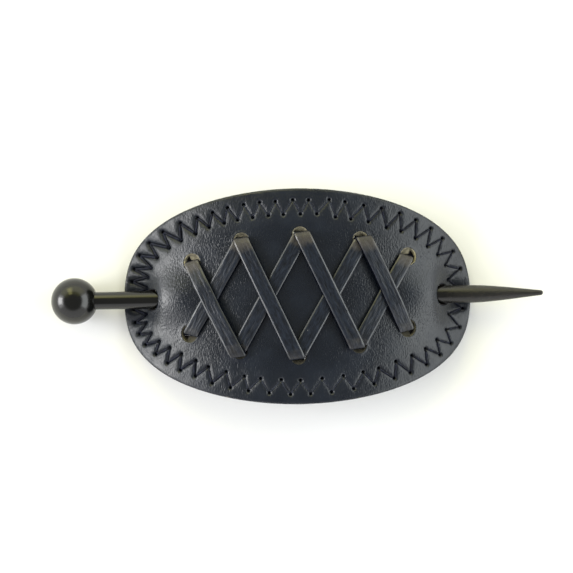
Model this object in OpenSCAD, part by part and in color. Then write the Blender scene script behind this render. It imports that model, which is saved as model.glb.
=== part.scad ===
// Leather hair barrette: an oval of arched leather with a crossed flat lace,
// held by a round stick with a ball on one end. Millimetres, +Z up, lying on Z = 0.
// The stick runs along +X towards its point, and the origin is under the oval's middle.

/* [Leather oval] */
// Length of the oval, seen from above
oval_length = 115.5; // [112:0.5:119]
// Width of the oval, seen from above
oval_width = 69.5; // [64:0.5:74]
// Fullness of the outline's two long sides, where 2 is an ellipse
side_fullness = 1.95; // [1.8:0.05:2.6]
// Bluntness of the outline's two ends, where 2 is an ellipse
end_bluntness = 2.65; // [2:0.05:3]
// Turn of the oval's outline against the stick, in degrees
oval_turn = -0.35; // [-3:0.05:3]
// Thickness of the leather
leather_t = 2.4; // [2:0.1:2.6]
// Rise of the arch from its ends to its crown
arch_rise = 21; // [20:0.5:23]
// Drop of the two long rims below the crown line
rim_cup = 0.8; // [0:0.1:2]

/* [Stick] */
// Diameter of the round stick
stick_d = 5.8; // [5:0.1:6]
// Diameter of the ball on the stick's end
ball_d = 15.3; // [14.5:0.1:16]
// Distance from the oval's middle to the middle of the ball
ball_reach = 73.5; // [73:0.1:78]
// Distance from the oval's middle to the point of the stick
tip_reach = 81; // [78:0.5:90]
// Length of the tapered point
taper_length = 23; // [15:0.5:24]

/* [Stick holes] */
// Distance from the oval's middle to each stick hole
stick_hole_reach = 46.8; // [46:0.1:47.5]
// Length of a stick hole, measured along the leather
stick_hole_length = 9.2; // [9:0.1:9.6]
// Width of a stick hole
stick_hole_width = 7.6; // [7:0.1:8]

/* [Lace] */
// Width of the flat lace
lace_w = 4.8; // [4.4:0.1:5]
// Thickness of the flat lace
lace_t = 1.2; // [1:0.05:1.25]
// Diameter of the punched lace holes
lace_hole_d = 5.2; // [5.1:0.05:5.6]
// Length of each lace end on the back
lace_tail = 9; // [6:0.5:9.5]

/* [Hidden] */
$fn = 64;

half_length = oval_length / 2;
half_width = oval_width / 2;
stick_r = stick_d / 2;
ball_r = ball_d / 2;
stick_z = ball_r;

// The arch is a circle through both ends and the crown of the upper face.
arch_r = (pow(half_length, 2) + pow(arch_rise, 2)) / (2 * arch_rise);
end_angle = asin(half_length / arch_r);
crown_z = arch_rise + leather_t * cos(end_angle);

// The stick lifts the leather inside each hole and presses it down outside, and the tab
// outside flattens on the ground. Distances run outwards from the hole's middle.
lift = 2.3;
lift_at = -3.8;
lift_half = 8.5;
lift_back = 17;
press = 2.9;
press_at = 3.9;
press_half = 6.3;
tab_overrun = 1.13;
tab_half = (half_length - stick_hole_reach - press_at) / tab_overrun;
flex_spread = 8;

function hump(u) = abs(u) < 1 ? pow(cos(90 * u), 2) : 0;
function press_share(d) =
    d < press_at ? hump((d - press_at) / press_half) : cos(90 * (d - press_at) / tab_half);
function flex(x) =
    let (d = abs(x) - stick_hole_reach)
    lift * hump((d - lift_at) / (d < lift_at ? lift_back : lift_half)) - press * press_share(d);
function top_z(x, y) =
    crown_z - arch_r + sqrt(pow(arch_r, 2) - pow(x, 2))
    + flex(x) * exp(-pow(y / flex_spread, 2))
    - rim_cup * pow(abs(y) / half_width, 4);

// Unit vectors of the upper face: along X, along Y and outwards.
probe = 0.05;
function unit(v) = v / norm(v);
function slope_x(x, y) = (top_z(x + probe, y) - top_z(x - probe, y)) / (2 * probe);
function slope_y(x, y) = (top_z(x, y + probe) - top_z(x, y - probe)) / (2 * probe);
function along_x(x, y) = unit([1, 0, slope_x(x, y)]);
function along_y(x, y) = unit([0, 1, slope_y(x, y)]);
function outward(x, y) = unit(cross(along_x(x, y), along_y(x, y)));
function on_face(x, y, height) = [x, y, top_z(x, y)] + height * outward(x, y);

// Outline of the oval, closer spaced at its two ends.
outline_steps = 88;
end_crowding = 0.25 * 180 / PI;
function power(v, p) = sign(v) * pow(abs(v), p);
function turned(p, a) = [p[0] * cos(a) - p[1] * sin(a), p[0] * sin(a) + p[1] * cos(a)];
function outline(k) =
    let (t = 360 * k / outline_steps, a = t - end_crowding * sin(2 * t))
    turned([half_length * power(cos(a), 2 / side_fullness),
            half_width * power(sin(a), 2 / end_bluntness)], oval_turn);

// Rings from the middle to the rim, closer spaced where the leather bends most.
wide_rings = 6;
fine_rings = 12;
fine_from = 0.63;
ring_shares = concat(
    [for (i = [1 : wide_rings]) fine_from * i / wide_rings],
    [for (i = [1 : fine_rings]) fine_from + (1 - fine_from) * i / fine_rings]);

module leather_sheet() {
    rings = len(ring_shares);
    steps = outline_steps;
    side = 1 + rings * steps;
    function spot(i, k) = ring_shares[i] * outline(k);
    function face_points(depth) = concat(
        [on_face(0, 0, -depth)],
        [for (i = [0 : rings - 1], k = [0 : steps - 1]) on_face(spot(i, k)[0], spot(i, k)[1], -depth)]);
    function at(i, k) = 1 + i * steps + (k % steps);
    upper = concat(
        [for (k = [0 : steps - 1]) [0, at(0, k + 1), at(0, k)]],
        [for (i = [0 : rings - 2], k = [0 : steps - 1]) [at(i, k), at(i, k + 1), at(i + 1, k)]],
        [for (i = [0 : rings - 2], k = [0 : steps - 1]) [at(i, k + 1), at(i + 1, k + 1), at(i + 1, k)]]);
    lower = [for (f = upper) [f[0] + side, f[2] + side, f[1] + side]];
    rim = rings - 1;
    edge = concat(
        [for (k = [0 : steps - 1]) [at(rim, k), at(rim, k + 1), at(rim, k) + side]],
        [for (k = [0 : steps - 1]) [at(rim, k + 1), at(rim, k + 1) + side, at(rim, k) + side]]);
    polyhedron(points = concat(face_points(0), face_points(leather_t)),
               faces = concat(upper, lower, edge), convexity = 8);
}

// Punched lace holes, a row for each column from the ball to the point: place of the
// upper hole along the stick, its reach from the stick, then the same for the lower hole.
lace_columns = [
    [-34.1, 11.7, -35.3, 11.4],
    [-17.8, 17.9, -19.0, 17.0],
    [1.1, 19.4, -0.1, 19.0],
    [20.6, 17.6, 19.4, 15.8],
    [36.2, 12.4, 35.6, 10.9]];
function hole_x(c, side) = lace_columns[c][side > 0 ? 0 : 2];
function hole_reach(c, side) = lace_columns[c][side > 0 ? 1 : 3];

// Every hole is cut square through the leather, by a cutter longer than its thickness.
cutter_length = 2.6 * leather_t;

module lace_hole(c, side) {
    x = hole_x(c, side);
    y = side * hole_reach(c, side);
    translate(on_face(x, y, -leather_t / 2))
        rotate([0, -atan(slope_x(x, y)), 0])
            cylinder(d = lace_hole_d, h = cutter_length, center = true);
}

// A stick hole has round ends and leans with the steep leather halfway through its thickness.
module stick_hole(end) {
    lean = -atan(slope_x(end * (stick_hole_reach + 0.4 * leather_t), 0));
    reach = (stick_hole_length - stick_hole_width) / 2;
    translate([end * stick_hole_reach, 0, stick_z]) rotate([0, lean, 0]) union() {
        for (s = [-1, 1])
            translate([s * reach, 0, 0])
                cylinder(d = stick_hole_width, h = cutter_length, center = true);
        cube([2 * reach, stick_hole_width, cutter_length], center = true);
    }
}

module leather_oval() {
    color([0.13, 0.14, 0.18]) difference() {
        leather_sheet();
        for (c = [0 : len(lace_columns) - 1], side = [-1, 1]) lace_hole(c, side);
        for (end = [-1, 1]) stick_hole(end);
    }
}

// The lace climbs the front and comes down the back, turn by turn. A turn starts at the
// lower hole of one column and ends at the upper hole of the next. The first four lean
// to the point's side, and the last four lean back and lie over them.
turns = [[0, 1], [1, 2], [2, 3], [3, 4], [4, 3], [3, 2], [2, 1], [1, 0]];
under_turns = 4;
last_column = len(lace_columns) - 1;
face_gap = 0.18;
back_gap = 0.2;
lace_gap = 0.12;
layer = lace_t + lace_gap;
level_1 = face_gap + lace_t / 2;
back_drop = back_gap - face_gap;
bend_centre = 1.4;
bend_steps = [0, 25, 50, 70, 90];
run_steps = 10;
back_steps = 6;
lace_edge = 0.2;
rise_share = 0.28;
shared_half_w = 2.05;
lone_half_w = 2.3;
fold_half_w = 2.6;
hole_lean = 25;
back_half_w = lace_w / 2;

// Two turns share each hole but those of the first and last column.
function lone(c) = c == 0 || c == last_column;
function bend_r(i, c) = lone(c) ? bend_centre : bend_centre + (i < under_turns ? -0.5 : 0.5) * layer;
function bend_level(i, c) = lone(c) || i < under_turns ? level_1 : level_1 + layer;
function hole_half_w(c) = lone(c) ? lone_half_w : shared_half_w;
function bend_half_w(c, b) = b <= (lone(c) ? hole_lean : 0) ? hole_half_w(c) : fold_half_w;
function bend_y(c, side) = side * (hole_reach(c, side) - bend_centre);

// A section of the lace: place on the face, height over it, lean of its thickness, half
// width and side of the stick. It leans 0 in a hole, 90 on the front and -90 on the back.
function front_bend(i, c, side) =
    [for (b = bend_steps)
        [hole_x(c, side), bend_y(c, side) + side * bend_r(i, c) * cos(b),
         bend_level(i, c) - bend_r(i, c) * (1 - sin(b)),
         b, bend_half_w(c, b), side]];
function back_bend(i, c, side) =
    [for (s = front_bend(i, c, side))
        [s[0], s[1], -leather_t - s[2] - back_drop * sin(s[3]), -s[3], min(s[4], back_half_w), side]];
function reversed(list) = [for (k = [len(list) - 1 : -1 : 0]) list[k]];

function ease(u) = let (v = min(max(u, 0), 1)) v * v * (3 - 2 * v);
function run_level(i, u) =
    i < under_turns ? level_1
    : let (first = bend_level(i, turns[i][0]), last = bend_level(i, turns[i][1]), top = level_1 + layer)
      u < 0.5 ? first + (top - first) * ease(u / rise_share)
              : last + (top - last) * ease((1 - u) / rise_share);

// The lace lies slanted on the front, so a section across it along X is wider than the lace.
function front_run(i) =
    let (from = turns[i][0], to = turns[i][1],
         x0 = hole_x(from, -1), y0 = bend_y(from, -1),
         dx = hole_x(to, 1) - x0, dy = bend_y(to, 1) - y0,
         half_w = lace_w / 2 * norm([dx, dy]) / dy)
    [for (k = [1 : run_steps - 1])
        let (u = k / run_steps)
        [x0 + dx * u, y0 + dy * u, run_level(i, u), 90, half_w, 1]];
function back_run(i) =
    let (c = turns[i][1], x0 = hole_x(c, 1), y0 = bend_y(c, 1),
         dx = hole_x(c, -1) - x0, dy = bend_y(c, -1) - y0)
    [for (k = [1 : back_steps - 1])
        let (u = k / back_steps)
        [x0 + dx * u, y0 + dy * u, -leather_t - bend_level(i, c) - back_drop, -90, back_half_w, 1]];
function tail(c, side) =
    let (height = -leather_t - level_1 - back_drop)
    [for (d = [lace_tail / 3 : lace_tail / 3 : lace_tail])
        [hole_x(c, side), bend_y(c, side) - side * d, height, -90, back_half_w, side]];
function turn_sections(i) = concat(
    reversed(back_bend(i, turns[i][0], -1)),
    front_bend(i, turns[i][0], -1),
    front_run(i),
    reversed(front_bend(i, turns[i][1], 1)),
    back_bend(i, turns[i][1], 1));
lace_sections = concat(
    reversed(tail(0, -1)),
    [for (i = [0 : len(turns) - 1]) each concat(turn_sections(i), i < len(turns) - 1 ? back_run(i) : [])],
    tail(0, 1));

function lace_ring(s) =
    let (x = s[0], y = s[1], wide = along_x(x, y),
         thick = s[5] * cos(s[3]) * along_y(x, y) + sin(s[3]) * outward(x, y),
         w = s[4], t = lace_t / 2, e = lace_edge)
    [for (c = [[w, t - e], [w - e, t], [-w + e, t], [-w, t - e],
               [-w, -t + e], [-w + e, -t], [w - e, -t], [w, -t + e]])
        on_face(x, y, s[2]) + c[0] * wide + c[1] * thick];

module lace() {
    rings = [for (s = lace_sections) lace_ring(s)];
    n = len(rings[0]);
    last = len(rings) - 1;
    color([0.16, 0.17, 0.21]) polyhedron(
        points = [for (r = rings) each r],
        faces = concat(
            [[for (k = [n - 1 : -1 : 0]) k]],
            [for (i = [0 : last - 1], k = [0 : n - 1]) [i * n + k, i * n + (k + 1) % n, (i + 1) * n + k]],
            [for (i = [0 : last - 1], k = [0 : n - 1])
                [i * n + (k + 1) % n, (i + 1) * n + (k + 1) % n, (i + 1) * n + k]],
            [[for (k = [0 : n - 1]) last * n + k]]),
        convexity = 10);
}

// The stick: a round shaft whose point tapers in a slight curve to a blunt end.
ball_flat_r = 3.6;
ball_bore_depth = 9;
ball_bore_gap = 0.04;
tip_r = 0.85;
taper_steps = 8;
taper_fullness = 1.45;
taper_sharpness = 1.1;
ball_face = sqrt(pow(ball_r, 2) - pow(ball_flat_r, 2));

function taper_r(u) = tip_r + (stick_r - tip_r) * pow(1 - pow(u, taper_fullness), taper_sharpness);

module stick_shaft() {
    start = -ball_reach + ball_face - ball_bore_depth;
    taper_from = tip_reach - taper_length;
    nose = tip_reach - tip_r;
    side = [for (k = [0 : taper_steps])
        let (u = k / taper_steps) [taper_r(u), taper_from + (nose - taper_from) * u]];
    color([0.10, 0.10, 0.09]) translate([0, 0, stick_z]) rotate([0, 90, 0]) union() {
        rotate_extrude() polygon(concat([[0, start], [stick_r, start]], side, [[0, nose]]));
        translate([0, 0, nose]) sphere(r = tip_r);
    }
}

module ball_knob() {
    bottom = ball_face - ball_bore_depth - ball_bore_gap;
    color([0.10, 0.10, 0.10]) translate([-ball_reach, 0, stick_z]) rotate([0, 90, 0]) difference() {
        sphere(r = ball_r);
        translate([0, 0, ball_face + ball_r]) cube(2 * ball_r, center = true);
        translate([0, 0, bottom]) cylinder(r = stick_r + ball_bore_gap, h = ball_d);
    }
}

leather_oval();
lace();
stick_shaft();
ball_knob();
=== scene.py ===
import math

import bpy
import numpy as np
from bpy.props import FloatProperty, FloatVectorProperty, IntProperty, PointerProperty
from mathutils import Matrix, Vector
from mathutils.geometry import delaunay_2d_cdt


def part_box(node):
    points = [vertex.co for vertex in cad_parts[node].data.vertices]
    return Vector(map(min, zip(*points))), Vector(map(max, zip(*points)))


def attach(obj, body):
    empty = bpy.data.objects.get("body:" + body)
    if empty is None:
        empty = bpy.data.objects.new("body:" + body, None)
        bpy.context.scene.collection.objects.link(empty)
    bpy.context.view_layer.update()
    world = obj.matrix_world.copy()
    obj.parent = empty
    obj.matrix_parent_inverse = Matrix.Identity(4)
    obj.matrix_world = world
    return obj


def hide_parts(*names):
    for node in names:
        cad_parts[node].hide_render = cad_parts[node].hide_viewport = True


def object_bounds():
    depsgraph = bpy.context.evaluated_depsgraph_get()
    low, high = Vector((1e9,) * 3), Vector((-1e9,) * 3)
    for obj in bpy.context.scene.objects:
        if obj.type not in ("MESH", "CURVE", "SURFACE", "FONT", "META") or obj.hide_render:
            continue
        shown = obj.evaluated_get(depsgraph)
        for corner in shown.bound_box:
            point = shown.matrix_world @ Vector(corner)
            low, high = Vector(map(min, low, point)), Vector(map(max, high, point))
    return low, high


bl_info = {
    "name": "Leather hair barrette with stick",
    "version": (1, 0, 0),
    "blender": (4, 5, 0),
    "location": "3D View > Sidebar > Barrette",
    "description": "Builds the leather, stitching, lace and stick of a hair barrette on its frame",
    "category": "Add Mesh",
}

MM = 0.001
TURN = 2 * math.pi

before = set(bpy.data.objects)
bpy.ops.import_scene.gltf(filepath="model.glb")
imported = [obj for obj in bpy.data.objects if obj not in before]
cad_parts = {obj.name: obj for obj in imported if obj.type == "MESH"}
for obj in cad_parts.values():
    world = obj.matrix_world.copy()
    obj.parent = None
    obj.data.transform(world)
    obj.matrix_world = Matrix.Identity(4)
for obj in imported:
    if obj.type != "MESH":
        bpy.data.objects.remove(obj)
CAD_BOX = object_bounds()
BALL_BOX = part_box("ball_knob")
SHAFT_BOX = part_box("stick_shaft")
BALL_RADIUS = (BALL_BOX[1].z - BALL_BOX[0].z) / 2
BALL_X = BALL_BOX[0].x + BALL_RADIUS
STICK_Z = (BALL_BOX[0].z + BALL_BOX[1].z) / 2
STICK_RADIUS = (SHAFT_BOX[1].z - SHAFT_BOX[0].z) / 2
POINT_X = SHAFT_BOX[1].x
OVAL_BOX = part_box("leather_oval")

# How the stick bends the leather: it lifts it inside each hole and presses it down outside.
# Distances run outwards from the hole's middle.
STICK_HOLE_REACH = 46.8 * MM
LIFT = 2.3 * MM
LIFT_AT = -3.8 * MM
LIFT_HALF = 8.5 * MM
LIFT_BACK = 17 * MM
PRESS = 2.9 * MM
PRESS_AT = 3.9 * MM
PRESS_HALF = 6.3 * MM
TAB_OVERRUN = 1.13
FLEX_SPREAD = 8 * MM

# Zigzag stitching by stretches of the rim, which is measured from the point's end over the
# far side: share of the rim, spacing (mm), how far along its space the inner hole lies,
# distance of the outer and of the inner hole from the rim (mm), depth of the pucker.
STITCH_ROWS = (
    (0.03, 6.9, 0.45, 3.0, 8.2, 0.30),
    (0.10, 6.4, 0.50, 2.5, 8.4, 0.30),
    (0.17, 6.3, 0.55, 3.3, 8.3, 0.35),
    (0.25, 5.55, 0.56, 3.7, 8.3, 0.35),
    (0.33, 5.2, 0.50, 3.8, 8.1, 0.55),
    (0.38, 6.9, 0.35, 3.2, 8.7, 0.90),
    (0.42, 7.4, 0.20, 2.2, 8.3, 1.00),
    (0.46, 4.9, 0.40, 2.4, 8.8, 1.00),
    (0.50, 4.5, 0.45, 2.6, 8.0, 1.00),
    (0.53, 4.8, 0.30, 3.4, 7.6, 0.80),
    (0.56, 5.4, 0.55, 3.7, 8.3, 0.65),
    (0.60, 6.0, 0.65, 4.3, 9.0, 0.55),
    (0.64, 6.2, 0.60, 3.8, 8.6, 0.45),
    (0.67, 6.3, 0.62, 3.4, 8.0, 0.40),
    (0.75, 6.9, 0.58, 3.1, 7.8, 0.35),
    (0.83, 7.1, 0.50, 3.7, 8.3, 0.35),
    (0.90, 6.6, 0.35, 3.1, 8.0, 0.35),
    (0.96, 6.8, 0.60, 3.0, 7.8, 0.30),
)
FIRST_STITCH = 0.0302

# The thread lies looser and lower at the middle of the long sides: where that starts to fade
# and where it ends, from the middle.
LOOSE_THREAD = (12 * MM, 28 * MM)

# The thread is twisted from plies: how many, how far they stand out and in as a share of its
# radius, and how long one twist is.
PLIES = 3
PLY_DEPTH = 0.11
PLY_PITCH = 1.9 * MM

# How deep the thread can sink, on the face and on the back, and how deep a needle hole draws it.
FACE_SINK = 1.3 * MM
BACK_SINK = 0.8 * MM
THREAD_DIVE = 1.15 * MM

# Width of the stitched band inside the rim, where the mesh is fine.
STITCHED_BAND = 11.5 * MM

# Where the face is drawn in, the back is drawn in too, by a share of the face's depth up to a limit.
BACK_SHARE = 0.5
BACK_LIMIT = 0.7 * MM

# Height of the waves of a worn hide.
HIDE_WAVE = 0.035 * MM

# Punched lace holes, a row for each column from the ball to the point: place of the upper
# hole along the stick, its reach from the stick, how loosely the lace folds out over it and
# how far aside the outer fold lies, then the same for the lower hole (mm).
LACE_COLUMNS = (
    (-34.1, 11.7, 0.1, -0.1, -35.3, 11.4, 0.3, 0.6),
    (-17.8, 17.9, 0.2, 0.1, -19.0, 17.0, 1.6, -0.4),
    (1.1, 19.4, 0.2, 0.5, -0.1, 19.0, 0.4, -0.4),
    (20.6, 17.6, 0.4, 0.7, 19.4, 15.8, 0.7, -1.0),
    (36.2, 12.4, 0.1, -0.8, 35.6, 10.9, 0.8, -0.7),
)

# Turns of the lace, from the lower hole of one column to the upper hole of the next.
LACE_TURNS = ((0, 1), (1, 2), (2, 3), (3, 4), (4, 3), (3, 2), (2, 1), (1, 0))
UNDER_TURNS = 4

# Shape of the stick's taper, and the gap round the shaft in the ball.
TAPER_FULLNESS = 1.45
TAPER_SHARPNESS = 1.1
BORE_GAP = 0.04 * MM

# Elevations between which the pale surroundings darken, and the width of the camera's sensor in mm.
ROOM_DARKENS = (math.radians(32), math.radians(50))
SENSOR_WIDTH = 36


# Sizes and colours that can be changed


def length(name, description, mm):
    """A length that is given in millimetres and kept in metres."""
    return FloatProperty(name=name, description=description, default=mm * MM, unit="LENGTH", precision=5)


def span(box, axis):
    """A box's length along an axis, in millimetres."""
    return (box[1][axis] - box[0][axis]) / MM


def number(name, description, default, subtype):
    return FloatProperty(name=name, description=description, default=default, subtype=subtype)


def colour(name, description, default):
    return FloatVectorProperty(name=name, description=description, default=default, subtype="COLOR",
                               size=3, min=0, max=1)


class BARRETTE_PG_leather(bpy.types.PropertyGroup):
    """The oval of arched leather"""

    length: length("Length", "Length of the oval, seen from above", span(OVAL_BOX, 0))
    width: length("Width", "Width of the oval, seen from above", span(OVAL_BOX, 1))
    side_fullness: number("Side fullness", "Fullness of the two long sides, 2 for an ellipse", 1.95, "NONE")
    end_bluntness: number("End bluntness", "Bluntness of the two ends, 2 for an ellipse", 2.65, "NONE")
    outline_turn: number("Outline turn", "Turn of the outline against the stick",
                         math.radians(-0.35), "ANGLE")
    thickness: length("Thickness", "Thickness of the leather", 2.4)
    arch_rise: length("Arch rise", "Rise of the arch from its ends to its crown", 21)
    rim_cup: length("Rim cup", "Drop of the two long rims below the crown line", 0.8)
    hole_diameter: length("Lace hole", "Diameter of the punched lace holes", 5.2)
    hole_pinch: length("Lace hole pinch", "How far the lace draws the sides of a shared hole in", 0.3)
    stick_hole_length: length("Stick hole length", "Length of a stick hole", 9.2)
    stick_hole_width: length("Stick hole width", "Width of a stick hole", 7.6)
    stick_hole_closing: length("Stick hole closing", "How far a stick hole's edge has closed in", 0.55)
    face_colour: colour("Face", "Dyed grain side", (0.0060, 0.0088, 0.0155))
    core_colour: colour("Core", "Raw leather inside the punched holes", (0.22, 0.20, 0.14))
    back_colour: colour("Back", "Rough side under the arch", (0.030, 0.028, 0.030))


class BARRETTE_PG_stitching(bpy.types.PropertyGroup):
    """The zigzag thread round the rim"""

    stitches: IntProperty(name="Stitches", description="Number of zigzags round the rim", default=50, min=30)
    thread: length("Thread", "Thickness of the thread", 0.48)
    swelling: length("Swelling", "How much thicker the thread looks where it is pulled tight", 0.36)
    needle_hole: length("Needle hole", "Width of a needle hole", 1.0)
    groove: length("Groove", "Depth to which the thread cuts in", 0.34)
    pucker: length("Pucker", "Depth to which the leather is drawn in", 0.75)
    # The thread's colour towards the two ends is darker than in the middle of the long sides: painted shade
    # of the deep grooves it lies in there.
    shaded_thread_colour: colour("Thread colour", "Navy thread", (0.0062, 0.0078, 0.0170))
    loose_thread_colour: colour("Greyed colour", "Handled thread", (0.0150, 0.0180, 0.0300))


class BARRETTE_PG_lace(bpy.types.PropertyGroup):
    """The flat lace that crosses the oval"""

    width: length("Width", "Width of the flat lace", 4.8)
    thickness: length("Thickness", "Thickness of the flat lace", 1.2)
    tail: length("Tail", "Length of each end on the back", 9)
    bevel: length("Bevel", "Width of the pared edges", 0.5)
    lace_colour: colour("Lace colour", "Dyed lace", (0.0065, 0.0090, 0.0155))
    rubbed_colour: colour("Rubbed colour", "Where the dye is rubbed off at the folds", (0.050, 0.045, 0.041))


class BARRETTE_PG_stick(bpy.types.PropertyGroup):
    """The round stick with a ball on its end"""

    taper: length("Taper", "Length of the tapered point", 23)
    tip_radius: length("Tip radius", "Radius of the blunt tip", 0.85)
    ball_flat: length("Ball flat", "Radius of the flat where the shaft enters the ball", 3.6)
    bore_depth: length("Bore depth", "Depth of the shaft in the ball", 9)
    lacquer_colour: colour("Lacquer", "Black lacquer", (0.0035, 0.0035, 0.0028))
    worn_colour: colour("Worn point", "Rubbed lacquer at the point", (0.014, 0.0115, 0.0085))


class BARRETTE_PG_stage(bpy.types.PropertyGroup):
    """The floor, lights and camera"""

    floor_colour: colour("Floor", "Plain white floor", (0.9, 0.9, 0.9))
    room: number("Room", "Brightness of the pale surroundings", 1.4, "NONE")
    overhead: number("Overhead", "Brightness straight above", 0.3, "NONE")
    elevation: number("Elevation", "Height of the camera above the horizon", math.radians(88.2), "ANGLE")
    picture_turn: number("Picture turn", "Rise of the stick to the right", math.radians(1.07), "ANGLE")
    aim_x: length("Aim along", "Where the camera aims, along the stick", -3.6)
    aim_y: length("Aim across", "Where the camera aims, across the stick", 3.5)
    distance: length("Distance", "From the camera to the stick", 525)
    lens: number("Lens", "Focal length in millimetres", 100, "NONE")


GROUPS = {
    "barrette_leather": BARRETTE_PG_leather,
    "barrette_stitching": BARRETTE_PG_stitching,
    "barrette_lace": BARRETTE_PG_lace,
    "barrette_stick": BARRETTE_PG_stick,
    "barrette_stage": BARRETTE_PG_stage,
}


# The leather's face


def hump(u):
    """A smooth bump of height 1, gone at one unit to each side."""
    return np.where(np.abs(u) < 1, np.cos(0.25 * TURN * u) ** 2, 0.0)


def ease(u):
    """A smooth step from 0 to 1."""
    v = np.clip(u, 0, 1)
    return v * v * (3 - 2 * v)


def bell(distance, spread):
    return np.exp(-(distance / spread) ** 2)


def signed_power(value, power):
    return np.sign(value) * np.abs(value) ** power


def unit(vectors):
    return vectors / np.linalg.norm(vectors, axis=-1, keepdims=True)


def travelled(points):
    """How far along a line of points each of them lies."""
    return np.concatenate([[0], np.cumsum(np.linalg.norm(np.diff(points, axis=0), axis=1))])


class Face:
    """The upper face of the leather: an arch along X that the stick bends further at its holes."""

    def __init__(self, leather):
        self.half_length = leather.length / 2
        self.half_width = leather.width / 2
        self.thickness = leather.thickness
        self.rim_cup = leather.rim_cup
        self.side_power = 2 / leather.side_fullness
        self.end_power = 2 / leather.end_bluntness
        self.turn = leather.outline_turn
        self.arch_radius = (self.half_length ** 2 + leather.arch_rise ** 2) / (2 * leather.arch_rise)
        end_angle = math.asin(self.half_length / self.arch_radius)
        self.crown = leather.arch_rise + leather.thickness * math.cos(end_angle)
        self.tab_half = (self.half_length - STICK_HOLE_REACH - PRESS_AT) / TAB_OVERRUN

    def flex(self, x):
        d = np.abs(x) - STICK_HOLE_REACH
        inside = hump((d - PRESS_AT) / PRESS_HALF)
        outside = np.cos(0.25 * TURN * (d - PRESS_AT) / self.tab_half)
        flank = np.where(d < LIFT_AT, LIFT_BACK, LIFT_HALF)
        return LIFT * hump((d - LIFT_AT) / flank) - PRESS * np.where(d < PRESS_AT, inside, outside)

    def top(self, x, y):
        arch = self.crown - self.arch_radius + np.sqrt(self.arch_radius ** 2 - x ** 2)
        bend = self.flex(x) * bell(y, FLEX_SPREAD)
        return arch + bend - self.rim_cup * (np.abs(y) / self.half_width) ** 4

    def slopes(self, x, y):
        probe = 0.05 * MM
        along = (self.top(x + probe, y) - self.top(x - probe, y)) / (2 * probe)
        across = (self.top(x, y + probe) - self.top(x, y - probe)) / (2 * probe)
        return along, across

    def outward(self, x, y):
        """Unit vectors square to the face."""
        along, across = self.slopes(x, y)
        return unit(np.stack([-along, -across, np.ones_like(along)], -1))

    def place(self, x, y, height=0.0):
        """Points at a height over the face."""
        x = np.asarray(x, float)
        y = np.asarray(y, float)
        base = np.stack([x, y, self.top(x, y)], -1)
        return base + np.asarray(height, float)[..., None] * self.outward(x, y)

    def foot(self, points, height):
        """The places on the face that points at this height stand over."""
        spot = points[:, :2].copy()
        for _ in range(6):
            spot = points[:, :2] - height * self.outward(spot[:, 0], spot[:, 1])[:, :2]
        return spot

    def outline(self, angles):
        x = self.half_length * signed_power(np.cos(angles), self.side_power)
        y = self.half_width * signed_power(np.sin(angles), self.end_power)
        c = math.cos(self.turn)
        s = math.sin(self.turn)
        return np.stack([x * c - y * s, x * s + y * c], -1)


class Rim:
    """The oval's outline, by the share of its length from the point's end over the far side."""

    def __init__(self, face):
        self.face = face
        angles = np.linspace(0, TURN, 6001)
        self.plan = face.outline(angles)
        solid = face.place(self.plan[:, 0], self.plan[:, 1])
        steps = np.linalg.norm(np.diff(solid, axis=0), axis=1)
        self.shares = np.concatenate([[0], np.cumsum(steps)]) / steps.sum()

    def at(self, share):
        wrapped = np.mod(share, 1)
        return np.stack([np.interp(wrapped, self.shares, self.plan[:, i]) for i in (0, 1)], -1)

    def inward(self, share):
        step = self.at(share + 0.002) - self.at(share - 0.002)
        return unit(np.stack([-step[..., 1], step[..., 0]], -1))

    def inset(self, share, distance):
        """Places at a distance from the rim, measured over the leather."""
        edge = self.at(share)
        inward = self.inward(share)
        distance = np.broadcast_to(distance, np.shape(share))[..., None]
        spot = edge + inward * distance
        for _ in range(3):
            rise = self.face.top(spot[..., 0], spot[..., 1]) - self.face.top(edge[..., 0], edge[..., 1])
            span = np.linalg.norm(spot - edge, axis=-1)
            slope = rise / np.maximum(span, 1e-9)
            spot = edge + inward * distance / np.sqrt(1 + slope ** 2)[..., None]
        return spot


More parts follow.
